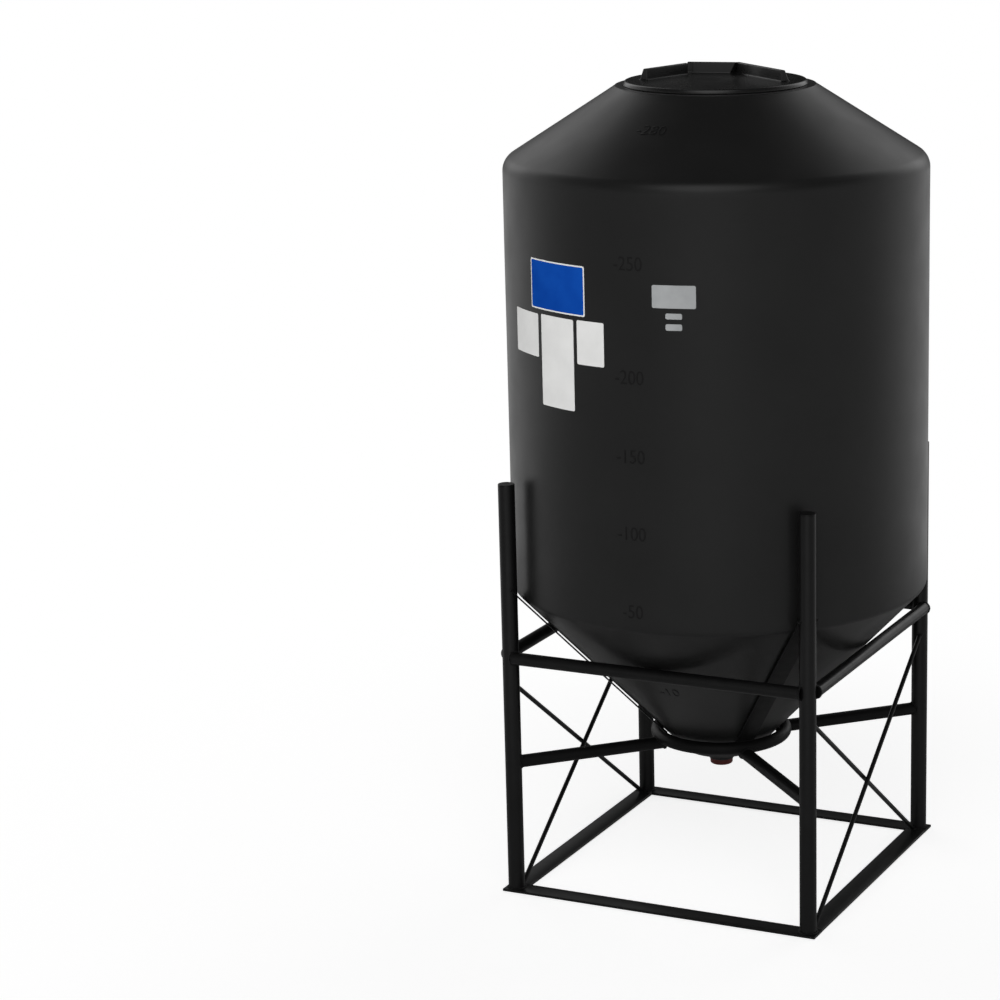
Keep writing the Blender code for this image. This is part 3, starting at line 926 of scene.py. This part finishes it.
# %% Posts and caps
POST_TOP_Z = cap_box[1].z
CAP_T = cap_box[1].z - cap_box[0].z
GROOVE = 0.0005
CAP_EDGE_R = 0.0020
POST_SIDES = 56
post_low = BASE_T + 0.0002
cap_z = POST_TOP_Z - CAP_T
bm = bmesh.new()
post_corners = [
    (0, post_low, 0, 0),
    (POST_R, post_low, 0, 0),
    (POST_R, cap_z - GROOVE, 0.0002, 1),
    (POST_R - GROOVE, cap_z, 0, 0),
    (POST_R, cap_z + GROOVE, 0.0002, 1),
    (POST_R, POST_TOP_Z, CAP_EDGE_R, 6),
    (0, POST_TOP_Z, 0, 0),
]
for sx, sy in CORNERS:
    center = (sx * POST_OFFSET, sy * POST_OFFSET)
    turn_outline(bm, rounded_outline(post_corners), POST_SIDES, center)
stand_posts = piece_from_bmesh("stand_posts", bm, [stand_enamel], 30)
settle(stand_posts, TANK_BODY, "black_steel", *solids_named("post_"))

# %% [markdown]
# Rails, radial pipes and brace rods are straight, but their ends aren't square. A pipe that
# meets another pipe is coped: its end is cut to the shape of what it meets. A Boolean could
# cut it, but it would leave thin triangles at the edge that shows most. Here each pipe is a
# bundle of lines along its side, and every line is followed from the middle of the pipe
# until it reaches the post, the ring or the base bar. The ends of those lines are the coped
# edge, and the same edge is kept as the seam that the weld follows.

# %% What the pipes meet
STEPS_ALONG = 400
HALVINGS = 18


def post_gap(corner):
    """Distance function of a post: below zero inside it."""
    def gap(point):
        return math.hypot(point.x - corner[0] * POST_OFFSET,
                          point.y - corner[1] * POST_OFFSET) - POST_R
    return gap


def ring_gap(point):
    """Distance to the skin of the support ring."""
    across = math.hypot(point.x, point.y) - RING_R
    return math.hypot(across, point.z - RING_Z) - PIPE_R


def base_gap(point):
    """Height above the base frame."""
    return point.z - BASE_T


def reach(start, direction, limit, gaps):
    """How far a line runs from start before it meets a surface, up to limit."""
    step = limit / STEPS_ALONG
    run = 0.0
    while run < limit:
        point = start + direction * (run + step)
        if min((gap(point) for gap in gaps), default=1.0) < 0:
            low, high = run, run + step
            for _ in range(HALVINGS):
                middle = (low + high) / 2
                if min(gap(start + direction * middle) for gap in gaps) < 0:
                    high = middle
                else:
                    low = middle
            return low
        run += step
    return limit


print("ring to its own middle line:", round(ring_gap(Vector((RING_R, 0, RING_Z))), 4))

# %% Coped pipes
SEAMS = []


def cut_rings(start, end, section, gaps, weld_ends):
    """Points of a bar's two ends: each section point runs both ways from the bar's middle."""
    middle = (start + end) / 2
    axis = (end - start).normalized()
    half = (end - start).length / 2
    rings = []
    for direction, welded in zip((-axis, axis), weld_ends):
        lines = [middle + offset for offset in section]
        ring = [line + direction * reach(line, direction, half, gaps) for line in lines]
        if welded:
            SEAMS.append(ring + [ring[0]])
        rings.append(ring)
    return rings


def coped_pipe(bm, start, end, radius, sides, gaps):
    """Closed pipe between two points, each end cut by the surfaces in gaps."""
    start, end = Vector(start), Vector(end)
    axis = (end - start).normalized()
    side = axis.cross(Vector((0, 0, 1))).normalized()
    up = side.cross(axis)
    angles = [2 * math.pi * index / sides for index in range(sides)]
    section = [(side * math.cos(angle) + up * math.sin(angle)) * radius for angle in angles]
    rings = cut_rings(start, end, section, gaps, (True, True))
    first, last = ([bm.verts.new(point) for point in ring] for ring in rings)
    bridge(bm, first, last)
    for ring, points in ((first, rings[0]), (last, rings[1])):
        bridge(bm, ring, [bm.verts.new(sum(points, Vector()) / sides)])


print("coped pipes follow", STEPS_ALONG, "steps from the middle to each end")

# %% [markdown]
# Four rails tie the posts to each other, just under the barrel. They run along the outer side
# of the posts, past the cone, so the posts cut only into one side of their ends.

# %% Rails
PIPE_SIDES = 48
RAIL_Z = (rail_box[0].z + rail_box[1].z) / 2
RAIL_LINE = rail_box[1].x - PIPE_R
RAIL_REACH = POST_OFFSET - 0.012
bm = bmesh.new()
for quarter in range(4):
    turn = Matrix.Rotation(math.pi / 2 * quarter, 3, "Z")
    start = turn @ Vector((-RAIL_REACH, -RAIL_LINE, RAIL_Z))
    end = turn @ Vector((RAIL_REACH, -RAIL_LINE, RAIL_Z))
    coped_pipe(bm, start, end, PIPE_R, PIPE_SIDES, [post_gap(corner) for corner in CORNERS])
stand_rails = piece_from_bmesh("stand_rails", bm, [stand_enamel], 50)
settle(stand_rails, TANK_BODY, "black_steel", *solids_named("rail_"))

# %% [markdown]
# Four radial pipes carry the ring from the posts. One end of each is cut by its post and the
# other by the ring, which curves two ways, and the same function cuts both.

# %% Radial pipes
RADIAL_Z = (radial_box[0].z + radial_box[1].z) / 2
RADIAL_IN = 0.160
bm = bmesh.new()
for sx, sy in CORNERS:
    inner = RADIAL_IN * math.sqrt(0.5)
    start = (sx * inner, sy * inner, RADIAL_Z)
    end = (sx * POST_OFFSET, sy * POST_OFFSET, RADIAL_Z)
    coped_pipe(bm, start, end, PIPE_R, PIPE_SIDES, [post_gap((sx, sy)), ring_gap])
radial_pipes = piece_from_bmesh("radial_pipes", bm, [cone_enamel], 50)
settle(radial_pipes, TANK_BODY, "black_steel", *solids_named("radial_"))

# %% [markdown]
# Two thin rods cross on the left side and two on the right, from high on one post down to the
# base bar near the other, and keep the frame from racking. They pass each other side by side,
# one on each side of the posts' middle line.

# %% Brace rods
BRACE_R = 0.0058
BRACE_SIDES = 24
BRACE_TOP_Z = 0.5480
BRACE_FOOT_Y, BRACE_FOOT_Z = 0.3720, 0.0125
BRACE_PAST = 0.03
bm = bmesh.new()
top_y = POST_OFFSET - POST_R
rise = (BRACE_TOP_Z - BRACE_FOOT_Z) / (top_y + BRACE_FOOT_Y)
for sx in (-1, 1):
    for sy in (-1, 1):
        x = sx * POST_OFFSET + sy * (BRACE_R + CLEARANCE)
        start = Vector((x, sy * POST_OFFSET, BRACE_TOP_Z + rise * POST_R))
        end = Vector((x, -sy * (BRACE_FOOT_Y + BRACE_PAST), BRACE_FOOT_Z - rise * BRACE_PAST))
        gaps = [post_gap((sx, -1)), post_gap((sx, 1)), base_gap]
        coped_pipe(bm, start, end, BRACE_R, BRACE_SIDES, gaps)
brace_rods = piece_from_bmesh("brace_rods", bm, [stand_enamel], 50)
settle(brace_rods, TANK_BODY, "black_steel", *solids_named("brace_"))

# %% [markdown]
# The ring under the cone is the same pipe, rolled into a circle. Blender has a torus to add,
# but its sizes are then frozen in a mesh. Curve to Mesh keeps them as inputs: one circle is
# the path and a small one is the section.

# %% Support ring
RING_STEPS = 160
RING_PIPE_SIDES = 40
ring_tree, sockets = new_tree("rolled_pipe", (
    ("Ring Radius", FLOAT), ("Pipe Radius", FLOAT), ("Height", FLOAT), ("Material", MATERIAL)))
path = add_node(ring_tree, "GeometryNodeCurvePrimitiveCircle", {
    "Resolution": RING_STEPS, "Radius": sockets["Ring Radius"]})
section = add_node(ring_tree, "GeometryNodeCurvePrimitiveCircle", {
    "Resolution": RING_PIPE_SIDES, "Radius": sockets["Pipe Radius"]})
sweep = add_node(ring_tree, "GeometryNodeCurveToMesh", {
    "Curve": path.outputs["Curve"], "Profile Curve": section.outputs["Curve"]})
finish_tree(ring_tree, raised(ring_tree, sweep.outputs["Mesh"], sockets["Height"]),
            sockets["Material"])
ring_values = {"Ring Radius": RING_R, "Pipe Radius": PIPE_R, "Height": RING_Z,
               "Material": cone_enamel}
ring_pipe = run_tree("ring_pipe", ring_tree, bpy.data.meshes.new("ring_pipe"), ring_values)
settle(ring_pipe, TANK_BODY, "black_steel", "support_ring")

# %% [markdown]
# Flat bar has eased edges from the rolling mill, and those thin bright lines are what make it
# read as steel. A bevel would ease the cut ends too, which are square on real bar. So a bar is
# a rounded rectangle run along a line, and its ends may be cut by what they meet, just as the
# pipes are.

# %% Flat bars
BAR_EDGE = 0.0009
BAR_EDGE_STEPS = 3


def bar_section(width, thickness):
    """Points of a rounded rectangle, width along x and thickness along y, from y 0 down."""
    points = []
    for corner, (right, above) in enumerate(((-1, -1), (1, -1), (1, 1), (-1, 1))):
        cx = (width / 2 - BAR_EDGE) * right
        cy = -thickness / 2 + (thickness / 2 - BAR_EDGE) * above
        for step in range(BAR_EDGE_STEPS + 1):
            angle = math.pi + math.pi / 2 * (corner + step / BAR_EDGE_STEPS)
            points.append((cx + BAR_EDGE * math.cos(angle), cy + BAR_EDGE * math.sin(angle)))
    return points


def flat_bar(bm, start, end, face, width, thickness, gaps=(), weld_ends=(False, False)):
    """Bar whose upper face runs from start to end and looks along face."""
    start, end = Vector(start), Vector(end)
    across = (end - start).normalized().cross(face).normalized()
    section = [across * x + face * y for x, y in bar_section(width, thickness)]
    rings = cut_rings(start, end, section, gaps, weld_ends)
    first, last = ([bm.verts.new(point) for point in ring] for ring in rings)
    bm.faces.new(first)
    bm.faces.new(last[::-1])
    bridge(bm, first, last)


print("points round a bar:", len(bar_section(0.05, 0.006)))

# %% [markdown]
# Four straps run from the posts down to the ring, under the cone, and hold its weight. The
# solid of a strap fills the whole gap between cone and ring. The strap itself is half as thick
# and lies on the ring's side of that gap, so daylight shows between it and the cone.

# %% Straps
STRAP_W = 0.0508
STRAP_GAP = 0.0005
STRAP_SPACE = 0.00635
STRAP_T = 0.0032
along = Vector((1, 0, CONE_SLOPE)).normalized()
under = Vector((CONE_SLOPE, 0, -1)).normalized()
ring_drop = (CONE_CORNER_Z - (TANK_R - RING_R) * CONE_SLOPE - RING_Z) / CONE_SLANT
to_strap = ring_drop - STRAP_GAP - STRAP_SPACE
meet = math.sqrt(PIPE_R ** 2 - to_strap ** 2)
low_end = Vector((RING_R, 0, RING_Z)) - under * ring_drop + along * meet
high_end = low_end + along * ((POST_OFFSET * math.sqrt(2) - low_end.x) / along.x)
top_drop = STRAP_GAP + STRAP_SPACE - STRAP_T
bm = bmesh.new()
for sx, sy in CORNERS:
    turn = Matrix.Rotation(math.atan2(sy, sx), 3, "Z")
    start = turn @ (low_end + under * top_drop)
    end = turn @ (high_end + under * top_drop)
    face = turn @ (-under)
    flat_bar(bm, start, end, face, STRAP_W, STRAP_T, [post_gap((sx, sy))], (True, True))
cone_straps = piece_from_bmesh("cone_straps", bm, [cone_enamel])
settle(cone_straps, TANK_BODY, "black_steel", *solids_named("strap_"))

# %% [markdown]
# Four flat bars lie on the floor as the base frame. The front and back bars run the full
# width, and the side bars fit between them with a hair of room, as cut bars do before they
# are welded.

# %% Base frame
BASE_OUT = base_box[1].x
BASE_W = base_box[1].y - base_box[0].y
BASE_SHORT = side_base_box[1].y
bm = bmesh.new()
middle_line = BASE_OUT - BASE_W / 2
up = Vector((0, 0, 1))
for side in (-1, 1):
    for start, end in (
        ((-BASE_OUT, side * middle_line, BASE_T), (BASE_OUT, side * middle_line, BASE_T)),
        ((side * middle_line, -BASE_SHORT, BASE_T), (side * middle_line, BASE_SHORT, BASE_T)),
    ):
        flat_bar(bm, start, end, up, BASE_W, BASE_T)
base_frame = piece_from_bmesh("base_frame", bm, [stand_enamel])
settle(base_frame, TANK_BODY, "black_steel", *solids_named("base_bar_"))

# %% [markdown]
# A weld follows the seam between two pieces. Most seams are already known from the coped ends.
# More are added where a post stands on the base, and where two base bars meet. Every seam
# becomes a chain of edges in one mesh, which is all that the node tree needs to start from.

# %% Weld seams
FOOT_SEAM_STEPS = 36
FOOT_SEAM_OUT = 0.001
JOINT_INSET = 0.002
JOINT_SINK = 0.0008
for sx, sy in CORNERS:
    circle = []
    seam_r = POST_R + FOOT_SEAM_OUT
    for step in range(FOOT_SEAM_STEPS + 1):
        angle = 2 * math.pi * step / FOOT_SEAM_STEPS
        circle.append(Vector((sx * POST_OFFSET + seam_r * math.cos(angle),
                              sy * POST_OFFSET + seam_r * math.sin(angle),
                              BASE_T + FOOT_SEAM_OUT)))
    SEAMS.append(circle)
    joint_y = sy * (BASE_OUT - BASE_W)
    ends = (BASE_OUT - BASE_W + JOINT_INSET, BASE_OUT - JOINT_INSET)
    SEAMS.append([Vector((sx * x, joint_y, BASE_T - JOINT_SINK)) for x in ends])
seam_bm = bmesh.new()
for seam in SEAMS:
    chain = [seam_bm.verts.new(point) for point in seam]
    for here, there in zip(chain, chain[1:]):
        seam_bm.edges.new((here, there))
seam_mesh = bpy.data.meshes.new("weld_seams")
seam_bm.to_mesh(seam_mesh)
seam_bm.free()
print("weld seams", len(SEAMS))

# %% [markdown]
# Along its seam, a weld is a row of small overlapping beads, left as the welder moves. A plain
# round tube would look like sealant. The tree turns the chains into curves, sets points along
# them at the bead's pitch and puts a flattened ball on each, turned along the seam and a
# little uneven, with a fixed seed.

# %% Weld beads
BEAD_SHAPE = (1.0, 1.0, 0.62)
weld_tree, sockets = new_tree("weld_beads", (
    ("Pitch", FLOAT), ("Bead Radius", FLOAT), ("Unevenness", FLOAT), ("Seed", "NodeSocketInt"),
    ("Material", MATERIAL)))
chains = add_node(weld_tree, "GeometryNodeMeshToCurve", {"Mesh": sockets["Geometry"]})
points = add_node(weld_tree, "GeometryNodeCurveToPoints", {
    "Curve": chains.outputs["Curve"], "Length": sockets["Pitch"]}, mode="LENGTH")
bead = add_node(weld_tree, "GeometryNodeMeshIcoSphere", {
    "Subdivisions": 2, "Radius": sockets["Bead Radius"]})
flatten = add_node(weld_tree, "GeometryNodeTransform", {
    "Geometry": bead.outputs["Mesh"], "Scale": BEAD_SHAPE})
smallest = add_node(weld_tree, "ShaderNodeMath", {0: 1.0, 1: sockets["Unevenness"]},
                    operation="SUBTRACT")
size = add_node(weld_tree, "FunctionNodeRandomValue", {"Seed": sockets["Seed"]},
                data_type="FLOAT")
least, most = (socket for socket in size.inputs if socket.name in ("Min", "Max") and socket.enabled)
weld_tree.links.new(smallest.outputs[0], least)
most.default_value = 1.0
random_size = [socket for socket in size.outputs if socket.enabled][0]
place = add_node(weld_tree, "GeometryNodeInstanceOnPoints", {
    "Points": points.outputs["Points"], "Rotation": points.outputs["Rotation"],
    "Instance": flatten.outputs["Geometry"], "Scale": random_size})
finish_tree(weld_tree, place.outputs["Instances"], sockets["Material"])
weld_values = {"Pitch": 0.0026, "Bead Radius": 0.0028, "Unevenness": 0.18, "Seed": 7,
               "Material": stand_enamel}
weld_beads = run_tree("weld_beads", weld_tree, seam_mesh, weld_values)
settle(weld_beads, TANK_BODY, "black_steel")

# %% [markdown]
# The studio is plain: a pale floor that runs out into a white background, and soft light. The
# light is a dome whose brightness changes slowly with direction, like big diffusers round a
# product. Lamps would do the same, but each would show as a hard shape in the gloss. A few
# helpers measure the direction looked in, and turn it into smooth ramps and round pools.

# %% Light helpers
CAMERA_SIDE = math.degrees(math.atan2(CAMERA_PLACE.y, CAMERA_PLACE.x))


def toward(azimuth, elevation):
    """Direction at an angle to the camera's side of the tank, and above the floor."""
    turn = math.radians(CAMERA_SIDE + azimuth)
    rise = math.radians(elevation)
    return Vector((math.cos(turn) * math.cos(rise), math.sin(turn) * math.cos(rise),
                   math.sin(rise)))


def math_node(tree, operation, first, second):
    """Output of a math node on two values or outputs."""
    return add_node(tree, "ShaderNodeMath", {0: first, 1: second}, operation=operation).outputs[0]


def lean(tree, sight, direction):
    """Cosine between the direction looked in and a given direction."""
    wanted = {0: sight, 1: direction}
    return add_node(tree, "ShaderNodeVectorMath", wanted, operation="DOT_PRODUCT").outputs["Value"]


def ramp(tree, value, start, end, low, high):
    """Smooth change from low at start to high at end."""
    wanted = {"Value": value, "From Min": start, "From Max": end, "To Min": low, "To Max": high}
    span = add_node(tree, "ShaderNodeMapRange", wanted, interpolation_type="SMOOTHSTEP")
    return span.outputs["Result"]


def pool(tree, sight, azimuth, elevation, inner, outer, strength):
    """Round soft light: full within inner degrees of its middle, gone at outer degrees."""
    close = lean(tree, sight, toward(azimuth, elevation))
    return ramp(tree, close, math.cos(math.radians(outer)), math.cos(math.radians(inner)),
                0.0, strength)


print("the camera's side of the tank:", round(CAMERA_SIDE, 1), "degrees")

# %% [markdown]
# Black plastic shows mostly what it reflects, so the dome is drawn for the reflections: a pool
# over the camera for the shoulder, two pools behind for the light edges of the barrel, and a
# dark card behind the tank that keeps its middle black. The camera itself sees plain white.

# %% Dome light
CARD_TONE = 0.012
PURE_WHITE = (1.0, 1.0, 1.0, 1.0)
# Azimuth from the camera's side, elevation, inner and outer size in degrees, and strength.
LIGHT_POOLS = (
    (-8, 52, 8, 30, 0.95),
    (-6, 8, 6, 34, 0.20),
    (147, 27, 10, 27, 0.58),
    (-154, 26, 9, 26, 0.61),
)
world = bpy.data.worlds.new("studio")
world.use_nodes = True
tree = world.node_tree
tree.nodes.clear()
sight = add_node(tree, "ShaderNodeTexCoord").outputs["Generated"]
height = lean(tree, sight, (0, 0, 1))
away = lean(tree, sight, toward(180, 0))
across = math_node(tree, "ABSOLUTE", lean(tree, sight, toward(90, 0)), 0.0)
front_glow = ramp(tree, height, 0.20, 0.62, 0.24, 0.03)
back_glow = ramp(tree, away, -0.15, 0.75, 0.0, 0.38)
under_roof = ramp(tree, height, 0.40, 0.90, 1.0, 0.0)
light = math_node(tree, "ADD", front_glow, math_node(tree, "MULTIPLY", back_glow, under_roof))
# The dark card is narrow as seen from the tank, and only above the floor line.
beside_card = ramp(tree, across, 0.28, 0.50, 0.0, 1.0)
before_card = ramp(tree, away, 0.10, 0.45, 1.0, 0.0)
under_card = ramp(tree, height, -0.14, -0.06, 1.0, 0.0)
open_sky = math_node(tree, "MAXIMUM", before_card, under_card)
open_sky = math_node(tree, "MAXIMUM", beside_card, open_sky)
light = math_node(tree, "MULTIPLY", light, math_node(tree, "MAXIMUM", open_sky, CARD_TONE))
for light_pool in LIGHT_POOLS:
    light = math_node(tree, "ADD", light, pool(tree, sight, *light_pool))
dome = add_node(tree, "ShaderNodeBackground", {"Color": PURE_WHITE, "Strength": light})
white = add_node(tree, "ShaderNodeBackground", {"Color": PURE_WHITE})
ray = add_node(tree, "ShaderNodeLightPath")
blend = add_node(tree, "ShaderNodeMixShader", {
    "Fac": ray.outputs["Is Camera Ray"], 1: dome.outputs["Background"],
    2: white.outputs["Background"]})
add_node(tree, "ShaderNodeOutputWorld", {"Surface": blend.outputs["Shader"]})
bpy.context.scene.world = world
bpy.context.scene.view_settings.view_transform = "Standard"
print("dome light nodes", len(tree.nodes))

# %% [markdown]
# In the photograph the labels are far brighter than the dark wall beside them, which mirrors
# little of the room. One soft lamp beside the camera lights them and nothing else, through
# light linking: it has a list of the pieces that it may reach.

# %% Lamp for the labels
LAMP_POWER = 225.0
LAMP_SIZE = 1.6
LAMP_FROM_CAMERA = Vector((-3.4, 0.6, -0.4))
LAMP_TARGET = Vector((-0.2, -TANK_R, 1.5))
lamp_data = bpy.data.lights.new("label_lamp", "AREA")
lamp_data.shape = "DISK"
lamp_data.size = LAMP_SIZE
lamp_data.energy = LAMP_POWER
lamp = placed("label_lamp", lamp_data)
lamp.location = CAMERA_PLACE + LAMP_FROM_CAMERA
aim = LAMP_TARGET - lamp.location
lamp.rotation_euler = aim.to_track_quat("-Z", "Y").to_euler()
lit_pieces = bpy.data.collections.new("lit_by_label_lamp")
for label in labels:
    lit_pieces.objects.link(label)
lamp.light_linking.receiver_collection = lit_pieces

# %% [markdown]
# The floor is a disc, pale where the stand meets it and melting into white further out. To
# the camera it glows a little, as a lit sweep does. To the tank above it, it is a mid grey,
# because a floor as bright as the picture's would flood the cone with light from below.

# %% Floor
FLOOR_R = 3.2
FLOOR_SIDES = 96
FLOOR_DROP = 0.0005
FLOOR_GREY = (0.80, 0.80, 0.80, 1.0)
FLOOR_GLOW = 0.78
FADE_FROM, FADE_TO = 0.9, 2.6
floor_material = bpy.data.materials.new("studio_floor")
floor_material.use_nodes = True
tree = floor_material.node_tree
tree.nodes.clear()
place = add_node(tree, "ShaderNodeTexCoord").outputs["Object"]
far = add_node(tree, "ShaderNodeVectorMath", {0: place}, operation="LENGTH").outputs["Value"]
fade = ramp(tree, far, FADE_FROM, FADE_TO, 0.0, 1.0)
grey = add_node(tree, "ShaderNodeBsdfDiffuse", {"Color": FLOOR_GREY}).outputs["BSDF"]
glow = add_node(tree, "ShaderNodeEmission", {"Strength": FLOOR_GLOW}).outputs["Emission"]
clear = add_node(tree, "ShaderNodeEmission", {"Strength": 1.0}).outputs["Emission"]
lit = add_node(tree, "ShaderNodeAddShader", {0: grey, 1: glow}).outputs["Shader"]
seen = add_node(tree, "ShaderNodeMixShader", {"Fac": fade, 1: lit, 2: clear}).outputs["Shader"]
ray = add_node(tree, "ShaderNodeLightPath").outputs["Is Camera Ray"]
choice = add_node(tree, "ShaderNodeMixShader", {"Fac": ray, 1: grey, 2: seen})
add_node(tree, "ShaderNodeOutputMaterial", {"Surface": choice.outputs["Shader"]})
bm = bmesh.new()
bmesh.ops.create_circle(bm, cap_ends=True, segments=FLOOR_SIDES, radius=FLOOR_R)
bm.transform(Matrix.Translation((0, 0, -FLOOR_DROP)))
studio_floor = piece_from_bmesh("studio_floor", bm, [floor_material])
print("floor radius", FLOOR_R)
